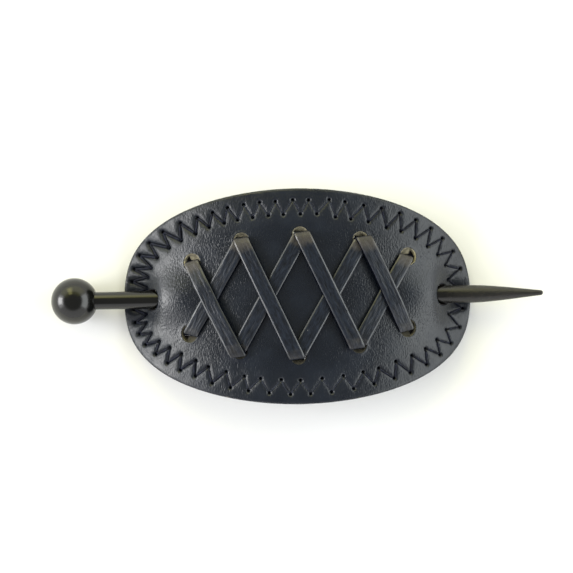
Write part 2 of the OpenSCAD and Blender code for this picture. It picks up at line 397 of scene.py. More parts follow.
class Zigzag:
    """Where the thread goes through the leather, and how it draws the face in."""

    def __init__(self, face, rim, stitching):
        self.face = face
        self.thread = stitching.thread / 2
        self.swelling = stitching.swelling / 2
        self.needle = stitching.needle_hole / 2
        self.groove = stitching.groove
        self.pucker = stitching.pucker
        chance = np.random.default_rng(11)
        count = stitching.stitches
        rows = np.array(STITCH_ROWS)

        def column(i, share):
            return np.interp(np.mod(share, 1), rows[:, 0], rows[:, i], period=1)

        fine = np.linspace(0, 1, 2001)
        rate = 1 / column(1, fine)
        tally = np.concatenate([[0], np.cumsum((rate[1:] + rate[:-1]) / 2)])
        tally *= count / tally[-1]
        first = np.interp(FIRST_STITCH, fine, tally)

        def share_at(stitch):
            return np.interp(np.mod(first + stitch, count), tally, fine)

        numbers = np.arange(count)
        outer = share_at(numbers + chance.normal(0, 0.045, count))
        inner = share_at(numbers + column(2, outer) + chance.normal(0, 0.045, count))
        outer_inset = (column(3, outer) + chance.normal(0, 0.14, count)) * MM
        inner_inset = (column(4, inner) + chance.normal(0, 0.18, count)) * MM
        shares = np.stack([outer, inner], 1).ravel()
        insets = np.stack([outer_inset, inner_inset], 1).ravel()
        self.holes = rim.inset(shares, insets)
        self.pull = column(5, shares)
        self.slack = chance.normal(0, 1, (2 * count, 2))

    def marks(self, x, y):
        """What the stitches do to the face at these places.

        Gives how far they draw it in, how much of it lies in a thread's shade, and how worked it is."""
        points = self.face.place(x, y)
        holes = self.face.place(self.holes[:, 0], self.holes[:, 1])
        groove = np.zeros(len(points))
        pucker = np.zeros(len(points))
        dimple = np.zeros(len(points))
        lip = np.zeros(len(points))
        pit = np.zeros(len(points))
        shade = np.zeros(len(points))
        worked = np.zeros(len(points))
        for i, start in enumerate(holes):
            j = (i + 1) % len(holes)
            along = holes[j] - start
            t = np.clip((points - start) @ along / (along @ along), 0, 1)
            off = np.linalg.norm(points - start - t[:, None] * along, axis=1)
            pull = self.pull[i] + (self.pull[j] - self.pull[i]) * t
            groove = np.maximum(groove, (0.05 + 0.95 * pull ** 1.5) * bell(off, (0.35 + 0.2 * pull) * MM))
            band = (0.15 + 0.6 * pull) * MM
            shade = np.maximum(shade, np.clip(1.25 * pull - 0.38, 0, 1) * ease((band - off) / (0.4 * MM)))
            worked = np.maximum(worked, pull * ease((4.6 * MM - off) / (4.2 * MM)))
            reach = (0.9 + 1.3 * pull) * MM
            pucker = np.maximum(pucker, pull * np.maximum(1 - off / reach, 0) ** 1.8)
            away = np.linalg.norm(points - start, axis=1)
            dimple = np.maximum(dimple, bell(away, 0.85 * MM))
            lip = np.maximum(lip, bell(away - 1.05 * MM, 0.3 * MM))
            shade = np.maximum(shade, ease((1.3 * self.needle - away) / (0.35 * MM)))
            needle = self.needle * (0.8 + 0.2 * self.pull[i])
            depth = 0.55 + 0.45 * self.pull[i]
            pit = np.maximum(pit, depth * ease((1.15 * needle - away) / (0.5 * needle)))
        sunk = (self.groove * groove + self.pucker * pucker + 0.3 * MM * dimple
                - 0.1 * MM * lip + 1.3 * MM * pit)
        return sunk, shade, worked


# Meshes


class Patchwork:
    """Points and faces of one mesh, gathered patch by patch."""

    def __init__(self):
        self.points = []
        self.shades = []
        self.worked = []
        self.count = 0
        self.faces = []
        self.finishes = []

    def add(self, points, shade=0.0, worked=0.0):
        """Takes points in and gives their numbers. Shade and worked are for their finish to read."""
        numbers = np.arange(self.count, self.count + len(points))
        self.points.append(np.asarray(points, float))
        self.shades.append(np.broadcast_to(shade, len(points)))
        self.worked.append(np.broadcast_to(worked, len(points)))
        self.count += len(points)
        return numbers

    def fill(self, faces, finish=0):
        """Adds faces, with one finish for all of them or one for each."""
        self.faces.extend(np.asarray(faces).tolist())
        self.finishes.extend(np.broadcast_to(finish, len(faces)).tolist())

    def join(self, first, second, finish=0):
        """Four-sided faces between two loops of points."""
        after_first = np.roll(first, -1)
        after_second = np.roll(second, -1)
        self.fill(np.stack([first, second, after_second, after_first], 1), finish)

    def build(self, name, finishes):
        mesh = bpy.data.meshes.new(name)
        mesh.from_pydata(np.concatenate(self.points).tolist(), [], self.faces)
        for finish in finishes:
            mesh.materials.append(finish)
        mesh.polygons.foreach_set("material_index", self.finishes)
        mesh.polygons.foreach_set("use_smooth", [True] * len(self.faces))
        mesh.update()
        piece = bpy.data.objects.new(name, mesh)
        bpy.context.scene.collection.objects.link(piece)
        note(piece, "shade", np.concatenate(self.shades))
        note(piece, "worked", np.concatenate(self.worked))
        return piece


def note(piece, name, values):
    """Keeps a number for each point of a mesh, for its finish to read."""
    attribute = piece.data.attributes.get(name) or piece.data.attributes.new(name, "FLOAT", "POINT")
    attribute.data.foreach_set("value", np.asarray(values, np.float32))


def inside(spots, loop):
    """Which of the spots lie inside a closed loop."""
    hit = np.zeros(len(spots), bool)
    for a, b in zip(loop, np.roll(loop, -1, axis=0)):
        crosses = (a[1] > spots[:, 1]) != (b[1] > spots[:, 1])
        if not crosses.any():
            continue
        x = a[0] + (spots[:, 1] - a[1]) * (b[0] - a[0]) / (b[1] - a[1] + 1e-15)
        hit ^= crosses & (spots[:, 0] < x)
    return hit


def triangulate(rim_loop, hole_loops, spots):
    """Triangles over all the points in plan, inside the rim's loop and outside the holes' loops."""
    loops = [rim_loop, *hole_loops]
    plan = np.concatenate([*loops, spots])
    edges = []
    start = 0
    for loop in loops:
        edges += [(start + k, start + (k + 1) % len(loop)) for k in range(len(loop))]
        start += len(loop)
    found = delaunay_2d_cdt([Vector(p / MM) for p in plan], edges, [], 1, 1e-5)
    if len(found[0]) != len(plan):
        raise ValueError("two points of the leather fall together in plan")
    sources = np.array([source[0] for source in found[3]])
    triangles = sources[np.array(found[2])]
    middles = plan[triangles].mean(1)
    kept = np.ones(len(triangles), bool)
    for loop in hole_loops:
        kept &= ~inside(middles, loop)
    return plan, triangles[kept]


def hex_spots(face, spacing):
    """Evenly staggered places over the oval's whole box."""
    rows = np.arange(-face.half_width, face.half_width, spacing * math.sqrt(0.75))
    columns = np.arange(-face.half_length, face.half_length, spacing)
    x, y = np.meshgrid(columns, rows)
    x = x + spacing / 2 * (np.arange(len(rows)) % 2)[:, None]
    return np.stack([x.ravel(), y.ravel()], 1)


def clear_of(spots, points, distance):
    """The spots that are farther than a distance from every point."""
    cells = {}
    for p in points:
        cells.setdefault((int(p[0] // distance), int(p[1] // distance)), []).append(p)
    kept = []
    for spot in spots:
        i = int(spot[0] // distance)
        j = int(spot[1] // distance)
        near = [p for a in (i - 1, i, i + 1) for b in (j - 1, j, j + 1) for p in cells.get((a, b), ())]
        if not near or (np.square(np.array(near) - spot).sum(1) > distance ** 2).all():
            kept.append(spot)
    return np.array(kept)


class Bore:
    """A hole through the leather: its middle, its axis, and its outline round the axis."""

    def __init__(self, face, middle, lean, radius, reach, steps, side=0, lace_face=0.0, end=0):
        self.face = face
        self.side = side
        self.lace_face = lace_face
        self.middle = np.array(middle, float)
        self.wide = np.array([math.cos(lean), 0, -math.sin(lean)])
        self.axis = np.array([math.sin(lean), 0, math.cos(lean)])
        self.radius = radius
        self.reach = reach
        self.angles = np.arange(steps) * TURN / steps
        self.open = ease((end * np.cos(self.angles) - 0.3) / 0.25)

    def row(self, offset, depth):
        """A loop at an offset out from the hole's wall and a depth under the face.

        Beyond the lace the wall slopes in until it meets the lace's outer face. Its open part,
        at the oval's near end, stays upright nearly to the bottom."""
        across = (self.radius + offset) * np.sin(self.angles)
        along = (self.radius + offset) * np.cos(self.angles)
        if self.side:
            beyond = np.maximum(self.side * across - self.lace_face, 0)
            sloped = ease((depth / MM - PLAIN_SLOPE[0]) / PLAIN_SLOPE[1])
            upright = ease((depth / MM - OPEN_SLOPE[0]) / OPEN_SLOPE[1])
            across = across - self.side * beyond * (sloped + (upright - sloped) * self.open)
        along = along + self.reach * np.tanh(6 * np.cos(self.angles))
        points = self.middle + along[:, None] * self.wide + across[:, None] * np.array([0, 1, 0])
        for _ in range(12):
            gap = self.face.top(points[:, 0], points[:, 1]) - points[:, 2]
            points = points + (gap * self.axis[2])[:, None] * self.axis
        square = self.face.outward(points[:, 0], points[:, 1])
        return points - (depth / (square @ self.axis))[:, None] * self.axis


# A wall of leather seen across its edge: how far in from the cut and how far down, in mm.
EDGE_ROWS = (
    (0.95, 0.0), (0.62, 0.02), (0.36, 0.09), (0.17, 0.22), (0.05, 0.42), (0.0, 0.68), (-0.04, 1.0),
    (-0.05, 1.35), (-0.02, 1.7), (0.02, 2.0), (0.1, 2.2), (0.24, 2.34), (0.5, 2.4),
)
# The same for a punched hole, where the face turns in over the cut.
PUNCH_ROWS = (
    (0.75, 0.0), (0.5, -0.03), (0.3, 0.03), (0.12, 0.2), (0.01, 0.42), (0.0, 0.75), (0.02, 1.1),
    (0.0, 1.45), (0.0, 1.8), (0.03, 2.1), (0.12, 2.3), (0.32, 2.4),
)
# Painted shade: below this depth, in mm, a lace hole's wall takes the dark back finish.
DARK_DEPTH = 1.4
# Beyond the lace, a hole's wall slopes in: from what depth and over what depth, in mm, for its
# plain part and then for its open part.
PLAIN_SLOPE = (0.25, 1.5)
OPEN_SLOPE = (1.3, 0.8)
FACE_FINISH, EDGE_FINISH, CORE_FINISH, BACK_FINISH, LIT_CORE_FINISH = range(5)


class Leather:
    """The oval's mesh: a fine face, a coarser back, the cut edge and the walls of the holes."""

    def __init__(self, leather, stitching):
        self.sizes = leather
        self.face = Face(leather)
        self.rim = Rim(self.face)
        self.zigzag = Zigzag(self.face, self.rim, stitching)

    def bores(self):
        face = self.face
        radius = self.sizes.hole_diameter / 2
        for c, row in enumerate(LACE_COLUMNS):
            end = {0: -1, len(LACE_COLUMNS) - 1: 1}.get(c, 0)
            pinch = 0 if end else self.sizes.hole_pinch
            lace_face = (0.62 if end else 1.28) * MM - pinch
            for x, reach, side in ((row[0], row[1], 1), (row[4], row[5], -1)):
                x, y = x * MM, side * (reach * MM + pinch)
                lean = -math.atan(float(face.slopes(x, y)[0]))
                yield Bore(face, face.place(x, y), lean, radius - pinch, 0.0, 48, side, lace_face, end)
        for end in (-1, 1):
            x = end * STICK_HOLE_REACH
            lean = -math.atan(float(face.slopes(end * (STICK_HOLE_REACH + 0.4 * face.thickness), 0.0)[0]))
            width = self.sizes.stick_hole_width
            reach = (self.sizes.stick_hole_length - width) / 2
            yield Bore(face, (x, 0, STICK_Z), lean, width / 2 - self.sizes.stick_hole_closing, reach, 64)

    def rough(self, x, y):
        """The unevenness of a worn hide, always below the plain face."""
        wave = (np.sin(x / (5.1 * MM) + 1.3) * np.sin(y / (6.3 * MM) + 0.4)
                + 0.6 * np.sin(x / (2.9 * MM) - y / (4.1 * MM) + 2.2))
        return HIDE_WAVE * (1.6 + wave)

    def lowered(self, x, y):
        return self.zigzag.marks(x, y)[0] + self.rough(x, y)

    def build(self, name, finishes):
        face = self.face
        steps = 760
        share = np.arange(steps) / steps
        patches = Patchwork()
        rim_rows = [self.rim_row(share, a * MM, d * MM) for a, d in EDGE_ROWS]
        bores = list(self.bores())
        bore_rows = [[bore.row(o * MM, d * MM) for o, d in PUNCH_ROWS] for bore in bores]
        first = self.patch(patches, share, EDGE_ROWS[0], [r[0] for r in bore_rows], 1)
        last = self.patch(patches, share, EDGE_ROWS[-1], [r[-1] for r in bore_rows], -1)
        rim_finishes = [FACE_FINISH if i < 2 else EDGE_FINISH for i in range(len(EDGE_ROWS))]
        self.wall(patches, first[0], last[0], rim_rows, rim_finishes, False)
        for k, (bore, rows) in enumerate(zip(bores, bore_rows)):
            self.wall(patches, first[k + 1], last[k + 1], rows, self.bore_finishes(bore), True)
        return patches.build(name, finishes)

    def bore_finishes(self, bore):
        """The finish of each row of a hole's wall: the face, then raw leather, and the dark back finish at
        the bottom as painted shade; the open wall at the oval's two ends takes a brighter copy of the raw
        leather as painted light.
        """
        # Painted shade: a stick hole's wall takes the dark back finish all the way down below its lip.
        raw = BACK_FINISH
        if bore.side:
            raw = np.where(bore.open[::-1] > 0.5, LIT_CORE_FINISH, CORE_FINISH)
        return [FACE_FINISH if i < 2 else BACK_FINISH if depth > DARK_DEPTH else raw
                for i, (_, depth) in enumerate(PUNCH_ROWS)]

    def rim_row(self, share, inset, depth):
        spot = self.rim.inset(share, max(inset, 0))
        out = self.rim.inward(share) * min(inset, 0)
        spot = spot + out
        lowered = self.lowered(spot[:, 0], spot[:, 1]) * ease(1 - depth / (0.9 * MM))
        return self.face.place(spot[:, 0], spot[:, 1], -depth - lowered)

    def wall(self, patches, top, bottom, rows, finishes, flipped):
        """Joins a loop of the face to its loop of the back, down the rows between."""
        numbers = [top, *[patches.add(row) for row in rows[1:-1]], bottom]
        for upper, lower, finish in zip(numbers, numbers[1:], finishes):
            if flipped:
                patches.join(upper[::-1], lower[::-1], finish)
            else:
                patches.join(upper, lower, finish)

    def patch(self, patches, share, edge, hole_rows, side):
        """One side of the leather: 1 for the face and -1 for the back. Gives its loops' numbers."""
        face = self.face
        depth = 0.0 if side > 0 else face.thickness
        rim_loop = self.rim.inset(share, edge[0] * MM)
        hole_loops = [face.foot(row, -depth) for row in hole_rows]
        spots = self.fill_spots(rim_loop, hole_loops, side)
        plan, triangles = triangulate(rim_loop, hole_loops, spots)
        sunk, shade, worked = self.zigzag.marks(plan[:, 0], plan[:, 1])
        lowered = sunk + self.rough(plan[:, 0], plan[:, 1])
        if side < 0:
            lowered = -BACK_SHARE * np.minimum(lowered, BACK_LIMIT)
        numbers = patches.add(face.place(plan[:, 0], plan[:, 1], -depth - lowered), shade, worked)
        faces = numbers[triangles]
        patches.fill(faces if side > 0 else faces[:, ::-1], FACE_FINISH if side > 0 else BACK_FINISH)
        loops = []
        start = 0
        for loop in [rim_loop, *hole_loops]:
            loops.append(numbers[start:start + len(loop)])
            start += len(loop)
        return loops

    def fill_spots(self, rim_loop, hole_loops, side):
        """Places between the loops: rings round the needle holes, then a fine band and a coarser middle."""
        face = self.face
        fine, plain = (0.42 * MM, 0.85 * MM) if side > 0 else (0.95 * MM, 1.3 * MM)
        ring_radii = (0.24, 0.42, 0.56, 0.78, 1.05) if side > 0 else (0.5, 0.9)
        spokes = 12 if side > 0 else 8
        turn = np.arange(spokes) * TURN / spokes
        circle = np.stack([np.cos(turn), np.sin(turn)], 1)
        loops = np.concatenate([rim_loop, *hole_loops])
        holes = self.zigzag.holes
        rings = [holes]
        rings += [hole + r * MM * circle for hole in holes for r in ring_radii]
        if side > 0:
            rings += [self.ladder(a, b) for a, b in zip(holes, np.roll(holes, -1, axis=0))]
        rings = clear_of(np.concatenate(rings), loops, 0.22 * MM)
        rings = self.thinned(rings, 0.13 * MM)
        kept = []
        angles = np.linspace(0, TURN, 300, endpoint=False)
        belt = self.rim.inset(angles / TURN, STITCHED_BAND)
        for spacing, banded, clearance in ((fine, True, 0.62), (plain, False, 0.72)):
            spots = hex_spots(face, spacing)
            spots = spots[inside(spots, rim_loop)]
            for loop in hole_loops:
                spots = spots[~inside(spots, loop)]
            spots = spots[inside(spots, belt) != banded]
            taken = np.concatenate([loops, rings, *kept])
            kept.append(clear_of(spots, taken, clearance * spacing))
        return np.concatenate([rings, *kept])

    def ladder(self, start, end):
        """Rows of places along a stitch, close to the thread and beside it."""
        run = end - start
        span = np.hypot(*run)
        sideways = np.array([-run[1], run[0]]) / span
        shares = np.arange(1.3 * MM, span - 1.2 * MM, 0.36 * MM) / span
        return np.concatenate([start + shares[:, None] * run + offset * MM * sideways
                               for offset in (0, -0.3, 0.3, -0.56, 0.56, -0.85, 0.85)])

    def thinned(self, spots, distance):
        """Leaves out each spot that lies too close to one before it."""
        taken = {}
        kept = []
        for spot in spots:
            i = int(spot[0] // distance)
            j = int(spot[1] // distance)
            near = [taken[(a, b)] for a in (i - 1, i, i + 1) for b in (j - 1, j, j + 1) if (a, b) in taken]
            if all(np.hypot(*(spot - p)) > distance for p in near):
                taken[(i, j)] = spot
                kept.append(spot)
        return np.array(kept)


def sweep(patches, centres, across, over, sections):
    """A solid along a line of centres, with a section of (across, over) corners for each centre."""
    rows = []
    for c, a, o, s in zip(centres, across, over, sections):
        s = np.asarray(s)
        rows.append(patches.add(c + s[:, :1] * a + s[:, 1:] * o))
    for first, second in zip(rows, rows[1:]):
        patches.join(first, second)
    patches.fill([rows[0], rows[-1][::-1]])


def build_thread(leather, stitching, name, finish):
    """Twisted thread from needle hole to needle hole, over the face and again over the back."""
    zigzag = leather.zigzag
    face = leather.face
    patches = Patchwork()
    steps = 25
    sides = 9
    turn = np.arange(sides) * TURN / sides
    t = np.linspace(0, 1, steps)
    for side in (1, -1):
        for i, start in enumerate(zigzag.holes):
            end = zigzag.holes[(i + 1) % len(zigzag.holes)]
            run = end - start
            span = np.hypot(*run)
            eased = 0.5 - 0.5 * np.cos(math.pi * t)
            eased = 0.5 * (eased + t)
            margin = 0.16 * MM / span
            spot = start + (margin + (1 - 2 * margin) * eased)[:, None] * run
            bow = zigzag.slack[i, 0 if side > 0 else 1] * 0.12 * MM
            sideways = np.array([-run[1], run[0]]) / span
            spot = spot + (bow * np.sin(math.pi * t))[:, None] * sideways
            clear = np.minimum(eased, 1 - eased) * span
            sunk = np.minimum(leather.lowered(spot[:, 0], spot[:, 1]), 1.25 * MM)
            thread = zigzag.thread + zigzag.swelling * zigzag.pull[i]
            loose = 1 - ease((np.abs(spot[:, 0]) - LOOSE_THREAD[0]) / (LOOSE_THREAD[1] - LOOSE_THREAD[0]))
            lift = (0.55 - 0.85 * loose) * thread
            up = lift * ease(clear / (0.9 * MM)) - THREAD_DIVE * (1 - ease(clear / (0.75 * MM)))
            if side > 0:
                height = np.maximum(up - sunk * ease(clear / (0.6 * MM)), -FACE_SINK)
            else:
                height = -face.thickness - np.maximum(up - 0.3 * sunk * ease(clear / (0.6 * MM)), -BACK_SINK)
            centres = face.place(spot[:, 0], spot[:, 1], height)
            ahead = unit(np.gradient(centres, axis=0))
            across = unit(np.cross(ahead, face.outward(spot[:, 0], spot[:, 1])))
            over = np.cross(across, ahead)
            sections = []
            for s in travelled(centres):
                radius = thread * (1 + PLY_DEPTH * np.cos(PLIES * (turn - TURN * s / PLY_PITCH)))
                sections.append(np.stack([radius * np.cos(turn), radius * np.sin(turn)], 1))
            sweep(patches, centres, across, over, sections)
    return patches.build(name, [finish])


class Lacing:
    """The route of the lace: up the front from column to column, and down the back behind the holes."""

    FACE_GAP = 0.18 * MM
    BACK_GAP = 0.2 * MM
    LACE_GAP = 0.12 * MM
    BEND_CENTRE = 1.4 * MM
    RISE_SHARE = 0.28
    SHARED_HALF = 1.9 * MM
    LONE_HALF = 2.15 * MM
    UNDER_LOOSE = 0.45 * MM
    FOLD_DEGREES = 12
    # The dye is rubbed off from this lean of a bend, over so many degrees more, and less so at the
    # lower folds. On the front that fades over a length, which starts a little before the fold.
    RUB_FROM = 12
    RUB_OVER = 35
    LOWER_RUB = 0.5
    RUB_START = 0.6 * MM
    UPPER_FADE = 5.4 * MM
    LOWER_FADE = 3.4 * MM
    # A bend lies deep in its hole up to this lean, and comes out over so many degrees more.
    DEEP_UNTIL = 10
    DEEP_OVER = 30
    # Away from a fold, a strand turns to its whole slant over this length.
    STRAIGHTENING = 5 * MM
    # Corners of the section, counted from the lower right one: the flanks and the rough side, which
    # lie in shade, and the pared edges.
    SHADED_CORNERS = (0, 1, 15, 16, 17, 18, 19)
    PARED_CORNERS = (3, 4, 5, 11, 12, 13)

    def __init__(self, face, lace):
        self.face = face
        self.half = lace.width / 2
        self.thick = lace.thickness / 2
        self.tail_length = lace.tail
        self.bevel = lace.bevel
        self.layer = lace.thickness + self.LACE_GAP
        self.level_1 = self.FACE_GAP + lace.thickness / 2
        self.back_drop = self.BACK_GAP - self.FACE_GAP
        self.last = len(LACE_COLUMNS) - 1

    def lone(self, c):
        return c in (0, self.last)

    def outer(self, i, c):
        """Whether this turn's strand is the one that shows at a hole."""
        return self.lone(c) or i >= UNDER_TURNS

    def hole(self, c, side):
        """A hole's place along the stick, its reach from the stick, and the fold's looseness and shift."""
        row = LACE_COLUMNS[c][:4] if side > 0 else LACE_COLUMNS[c][4:]
        return tuple(value * MM for value in row)

    def bend_y(self, c, side):
        return side * (self.hole(c, side)[1] - self.BEND_CENTRE)

    def bend_radius(self, i, c):
        if self.lone(c):
            return self.BEND_CENTRE
        return self.BEND_CENTRE + (-0.5 if i < UNDER_TURNS else 0.5) * self.layer

    def bend_level(self, i, c):
        return self.level_1 if self.lone(c) or i < UNDER_TURNS else self.level_1 + self.layer

    def bend_reach(self, i, c, side, lean):
        """How far the bend reaches across the stick where it leans this much."""
        loose = self.hole(c, side)[2] if self.outer(i, c) else self.UNDER_LOOSE
        out = self.bend_radius(i, c) * math.cos(lean) + loose * math.sin(2 * lean)
        return self.bend_y(c, side) + side * out

    def fold(self, i, c, side):
        """The middle of a fold in plan."""
        x, _, _, shift = self.hole(c, side)
        y = self.bend_reach(i, c, side, math.radians(self.FOLD_DEGREES))
        return x + (shift if self.outer(i, c) else 0), y

    def strand(self, i):
        """The front run of a turn: where it starts, its reach in plan and its slant off the Y axis."""
        from_c, to_c = LACE_TURNS[i]
        x0, y0 = self.fold(i, from_c, -1)
        x1, y1 = self.fold(i, to_c, 1)
        return x0, y0, x1 - x0, y1 - y0, -math.atan2(x1 - x0, y1 - y0)

    def line_x(self, i, y):
        x0, y0, dx, dy, _ = self.strand(i)
        return x0 + (y - y0) * dx / dy

    def fold_turn(self, c):
        """The share of the strand's slant that its fold takes."""
        return 0.5 if self.lone(c) else 0.3

    def width(self, slant, turn):
        """Half the width of a section, so that the strand's edges stay straight."""
        return self.half / math.cos(slant - turn)

    def front_bend(self, i, c, side):
        """Sections from inside a hole up to the fold.

        Each is x, y, height, lean, turn, half width, side, rub and how deep in the hole it lies."""
        radius = self.bend_radius(i, c)
        half = self.LONE_HALF if self.lone(c) else self.SHARED_HALF
        slant = self.strand(i)[4]
        x = self.hole(c, side)[0]
        rows = []
        for degrees in np.linspace(0, 90, 31):
            lean = math.radians(degrees)
            y = self.bend_reach(i, c, side, lean)
            height = self.bend_level(i, c) - radius * (1 - math.sin(lean))
            spread = float(ease(degrees / self.FOLD_DEGREES))
            turn = slant * self.fold_turn(c) * spread
            width = half + (self.width(slant, turn) - half) * spread
            rub = float(ease((degrees - self.RUB_FROM) / self.RUB_OVER))
            if side < 0:
                rub *= self.LOWER_RUB
            deep = 1 - float(ease((degrees - self.DEEP_UNTIL) / self.DEEP_OVER))
            rows.append((x + (self.line_x(i, y) - x) * spread, y, height, lean, turn, width, side, rub, deep))
        return rows

    def back_bend(self, i, c, side):
        radius = self.bend_radius(i, c)
        half = self.LONE_HALF if self.lone(c) else self.SHARED_HALF
        slant = self.strand(i)[4]
        rows = []
        for degrees in np.linspace(0, 90, 13):
            lean = math.radians(degrees)
            y = self.bend_y(c, side) + side * radius * math.cos(lean)
            depth = self.bend_level(i, c) - radius * (1 - math.sin(lean)) + self.back_drop * math.sin(lean)
            width = half + (self.half - half) * math.sin(lean)
            rows.append((self.hole(c, side)[0], y, -self.face.thickness - depth, -lean,
                         0.12 * slant * math.cos(lean) ** 2, width, side, 0.0, 1.0))
        return rows

    def run_level(self, i, u):
        if i < UNDER_TURNS:
            return self.level_1
        top = self.level_1 + self.layer
        if u < 0.5:
            first = self.bend_level(i, LACE_TURNS[i][0])
            return first + (top - first) * float(ease(u / self.RISE_SHARE))
        last = self.bend_level(i, LACE_TURNS[i][1])
        return last + (top - last) * float(ease((1 - u) / self.RISE_SHARE))

    def front_run(self, i):
        slant = self.strand(i)[4]
        from_c, to_c = LACE_TURNS[i]
        start = self.bend_y(from_c, -1)
        span = (self.bend_y(to_c, 1) - start) / math.cos(slant)
        rows = []
        steps = 46
        for k in range(1, steps):
            u = k / steps
            y = start + u * span * math.cos(slant)
            from_top = (1 - u) * span
            from_bottom = u * span
            near = min(from_top, from_bottom)
            first = self.fold_turn(to_c if from_top < from_bottom else from_c)
            turn = slant * (first + (1 - first) * float(ease(near / self.STRAIGHTENING)))
            upper_rub = 1 - float(ease((from_top + self.RUB_START) / self.UPPER_FADE))
            lower_rub = 1 - float(ease((from_bottom + self.RUB_START) / self.LOWER_FADE))
            rub = upper_rub + self.LOWER_RUB * lower_rub
            rows.append((self.line_x(i, y), y, self.run_level(i, u), 0.25 * TURN, turn,
                         self.width(slant, turn), 1, rub, 0.0))
        return rows

    def back_run(self, i):
        c = LACE_TURNS[i][1]
        x0, y0 = self.hole(c, 1)[0], self.bend_y(c, 1)
        dx, dy = self.hole(c, -1)[0] - x0, self.bend_y(c, -1) - y0
        height = -self.face.thickness - self.bend_level(i, c) - self.back_drop
        shares = [k / 16 for k in range(1, 16)]
        return [(x0 + dx * u, y0 + dy * u, height, -0.25 * TURN, 0.0, self.half, 1, 0.0, 1.0) for u in shares]

    def tail(self, c, side):
        height = -self.face.thickness - self.level_1 - self.back_drop
        reaches = [self.tail_length * k / 6 for k in range(1, 7)]
        return [(self.hole(c, side)[0], self.bend_y(c, side) - side * d, height, -0.25 * TURN, 0.0,
                 self.half, side, 0.0, 1.0) for d in reaches]

    def sections(self):
        rows = self.tail(0, -1)[::-1]
        for i, (from_c, to_c) in enumerate(LACE_TURNS):
            rows += self.back_bend(i, from_c, -1)[::-1] + self.front_bend(i, from_c, -1)
            rows += self.front_run(i)
            rows += self.front_bend(i, to_c, 1)[::-1] + self.back_bend(i, to_c, 1)
            if i < len(LACE_TURNS) - 1:
                rows += self.back_run(i)
        return rows + self.tail(0, 1)

    def ring(self, half):
        """The lace's section: pared edges on the smooth side, plain corners on the rough side."""
        w, t, b = half + 0.18 * MM, self.thick, self.bevel
        right = [(w, -t + 0.2 * MM), (w - 0.1 * MM, t - 0.5 * MM), (w - 0.14 * MM, t - 0.6 * b)]
        w -= 0.16 * MM
        right += [(w - 0.02 * MM, t - 0.52 * b), (w - 0.2 * b, t - 0.41 * b), (w - 0.8 * b, t - 0.06 * b),
                  (w - 1.1 * b, t), (0.5 * (w - b), t - 0.03 * MM)]
        left = [(-x, z) for x, z in right[::-1]]
        bottom = [(-w + 0.2 * MM, -t), (0, -t), (w - 0.2 * MM, -t)]
        return right + [(0, t - 0.05 * MM)] + left + bottom

    def build(self, name, finish):
        rows = self.sections()
        x, y, height, lean, turn, half, side, rub, deep = (np.array(v, float) for v in zip(*rows))
        centres = self.face.place(x, y, height)
        along, across = self.face.slopes(x, y)
        wide = unit(np.stack([np.ones_like(along), np.zeros_like(along), along], 1))
        cross = unit(np.stack([np.zeros_like(across), np.ones_like(across), across], 1))
        square = self.face.outward(x, y)
        c = np.cos(turn)[:, None]
        s = np.sin(turn)[:, None]
        aside = c * wide + s * cross
        ahead = c * cross - s * wide
        over = (side * np.cos(lean))[:, None] * ahead + np.sin(lean)[:, None] * square
        rings = [self.ring(w) for w in half]
        patches = Patchwork()
        sweep(patches, centres, aside, over, rings)
        piece = patches.build(name, [finish])
        corners = len(rings[0])
        note(piece, "rub", np.repeat(rub, corners))
        sides = np.zeros(corners)
        sides[list(self.SHADED_CORNERS)] = 1
        note(piece, "shade", np.maximum(deep[:, None], sides[None]).ravel())
        pared = np.zeros(corners)
        pared[list(self.PARED_CORNERS)] = 1
        note(piece, "pared", np.tile(pared, len(rows)))
        note(piece, "along", np.repeat(travelled(centres) / MM, corners))
        note(piece, "aside", [x / MM for ring in rings for x, _ in ring])
        return piece


def lathe(name, profile, segments, finish):
    """A solid of revolution round the stick's axis, from (x, radius) rows with a point at each end."""
    patches = Patchwork()
    turn = np.arange(segments) * TURN / segments
    rows = [patches.add(np.stack([np.full(segments, x), r * np.cos(turn), STICK_Z + r * np.sin(turn)], 1))
            for x, r in profile[1:-1]]
    poles = [patches.add([(x, 0, STICK_Z)])[0] for x, _ in (profile[0], profile[-1])]
    for first, second in zip(rows, rows[1:]):
        patches.join(second, first)
    for k in range(segments):
        after = (k + 1) % segments
        patches.fill([(poles[0], rows[0][k], rows[0][after])])
        patches.fill([(poles[1], rows[-1][after], rows[-1][k])])
    return patches.build(name, [finish])


# Finishes


class Wire:
    """A number or colour that a finish works out at each point. Arithmetic adds its Math nodes."""

    def __init__(self, finish, socket):
        self.finish = finish
        self.socket = socket

    def __add__(self, other):
        return self.finish.maths("ADD", self, other)

    def __radd__(self, other):
        return self.finish.maths("ADD", other, self)

    def __sub__(self, other):
        return self.finish.maths("SUBTRACT", self, other)

    def __rsub__(self, other):
        return self.finish.maths("SUBTRACT", other, self)

    def __mul__(self, other):
        return self.finish.maths("MULTIPLY", self, other)

    def __rmul__(self, other):
        return self.finish.maths("MULTIPLY", other, self)


class Nodes:
    """Adds nodes to one node tree."""

    def __init__(self, tree):
        self.tree = tree

    def feed(self, node, inputs):
        for name, value in inputs.items():
            if isinstance(value, Wire):
                self.tree.links.new(value.socket, node.inputs[name])
            else:
                node.inputs[name].default_value = value

    def node(self, kind, settings=None, inputs=None, output=0):
        """Any node: its settings first, then the values or wires of its sockets."""
        made = self.tree.nodes.new(kind)
        for name, value in (settings or {}).items():
            setattr(made, name, value)
        self.feed(made, inputs or {})
        return None if output is None else Wire(self, made.outputs[output])

    def maths(self, operation, *terms):
        return self.node("ShaderNodeMath", {"operation": operation}, dict(enumerate(terms)))

    def step(self, value, low, high, to_low=0.0, to_high=1.0):
        return self.node("ShaderNodeMapRange", {"interpolation_type": "SMOOTHSTEP"}, {
            0: value, 1: low, 2: high, 3: to_low, 4: to_high})


SHADE_COLOUR = (0.004, 0.0045, 0.008)


